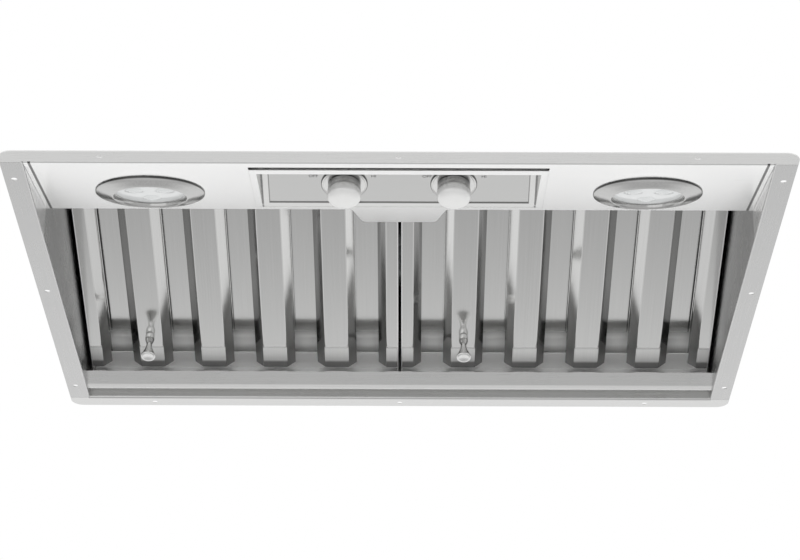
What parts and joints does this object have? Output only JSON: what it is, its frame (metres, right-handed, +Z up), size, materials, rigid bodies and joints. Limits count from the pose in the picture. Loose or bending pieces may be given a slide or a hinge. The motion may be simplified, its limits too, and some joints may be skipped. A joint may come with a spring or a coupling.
{
  "type": "range hood insert",
  "caption": "Range hood insert with a screw flange, sloping baffle filters, a lamp and control panel, a blower and a round duct collar with damper flaps.",
  "frame": {"origin": "middle of the flange's underside, the lowest plane of the part", "axes": "+X to the right seen from the cook, +Y to the back wall, +Z up"},
  "size_m": [0.873, 0.711, 0.274],
  "materials": {
    "brushed_stainless": "fine brushed",
    "galvanised_sheet": "dull zinc",
    "polished_stainless": "bright polished",
    "satin_chrome": "satin",
    "zinc_steel": "bright zinc",
    "lamp_trim_metal": "satin",
    "clear_lens": "clear",
    "board_white": "matt",
    "die_cast_aluminium": "as cast",
    "black_plastic": "fine matt",
    "wheel_steel": "galvanised",
    "motor_paint": "satin black",
    "capacitor_can": "drawn"
  },
  "bodies": {
    "casing": {"front_wall": "brushed_stainless", "back_wall": "brushed_stainless", "left_wall": "brushed_stainless", "right_wall": "brushed_stainless", "top_panel": "galvanised_sheet", "slant_cover": "galvanised_sheet", "lamp_panel": "brushed_stainless", "panel_angles": "galvanised_sheet", "control_tray": "brushed_stainless", "control_plate": "brushed_stainless", "inner_panel": "brushed_stainless", "grease_trough": "brushed_stainless", "duct_collar": "galvanised_sheet", "collar_ring": "galvanised_sheet", "damper_rod": "galvanised_sheet", "damper_stops": "galvanised_sheet", "scroll_wrapper": "galvanised_sheet", "left_scroll_side": "galvanised_sheet", "right_scroll_side": "galvanised_sheet", "scroll_straps": "galvanised_sheet", "outlet_plate": "galvanised_sheet", "blower_motor": "motor_paint", "motor_bracket": "galvanised_sheet", "junction_box": "galvanised_sheet", "junction_cover": "galvanised_sheet", "led_driver": "black_plastic", "run_capacitor": "capacitor_can", "capacitor_strap": "galvanised_sheet", "casing_fasteners": "zinc_steel", "led_boards": "board_white", "lamp_clips": "zinc_steel", "left_knob_ring": "satin_chrome", "right_knob_ring": "satin_chrome", "left_rotary_control": "black_plastic", "right_rotary_control": "black_plastic", "left_lamp_trim": "lamp_trim_metal", "right_lamp_trim": "lamp_trim_metal", "left_lamp_lens": "clear_lens", "right_lamp_lens": "clear_lens", "lamp_cans": "die_cast_aluminium"},
    "left_filter": {"left_filter_frame": "polished_stainless", "left_front_baffles": "polished_stainless", "left_rear_baffles": "polished_stainless", "left_filter_pull": "satin_chrome", "left_pull_screw": "zinc_steel"},
    "right_filter": {"right_filter_frame": "polished_stainless", "right_front_baffles": "polished_stainless", "right_rear_baffles": "polished_stainless", "right_filter_pull": "satin_chrome", "right_pull_screw": "zinc_steel"},
    "left_control": {"left_knob": "satin_chrome", "left_knob_shaft": "zinc_steel"},
    "right_control": {"right_knob": "satin_chrome", "right_knob_shaft": "zinc_steel"},
    "wheel": {"blower_wheel": "wheel_steel", "wheel_blades": "wheel_steel", "wheel_rings": "wheel_steel", "motor_shaft": "zinc_steel"},
    "left_flap": {"left_damper_flap": "galvanised_sheet"},
    "right_flap": {"right_damper_flap": "galvanised_sheet"}
  },
  "joints": [
    {"name": "left_filter_lift", "type": "slide", "parent": "casing", "child": "left_filter", "axis": [0, -0.9225, 0.3859], "range_m": [0, 0.028]},
    {"name": "right_filter_lift", "type": "slide", "parent": "casing", "child": "right_filter", "axis": [0, -0.9225, 0.3859], "range_m": [0, 0.028]},
    {"name": "left_knob_turn", "type": "hinge", "parent": "casing", "child": "left_control", "pos_m": [-0.0627, -0.19733, 0.0447], "axis": [0, -0.2028, -0.9792], "range_deg": [0, 270]},
    {"name": "right_knob_turn", "type": "hinge", "parent": "casing", "child": "right_control", "pos_m": [0.0627, -0.19733, 0.0447], "axis": [0, -0.2028, -0.9792], "range_deg": [0, 270]},
    {"name": "wheel_spin", "type": "hinge", "parent": "casing", "child": "wheel", "pos_m": [0, 0.1848, 0.17051], "axis": [1, 0, 0], "continuous": true},
    {"name": "left_flap_swing", "type": "hinge", "parent": "casing", "child": "left_flap", "pos_m": [0, 0.236, 0.251], "axis": [0, 1, 0], "range_deg": [0, 72]},
    {"name": "right_flap_swing", "type": "hinge", "parent": "casing", "child": "right_flap", "pos_m": [0, 0.236, 0.251], "axis": [0, -1, 0], "range_deg": [0, 72]}
  ]
}
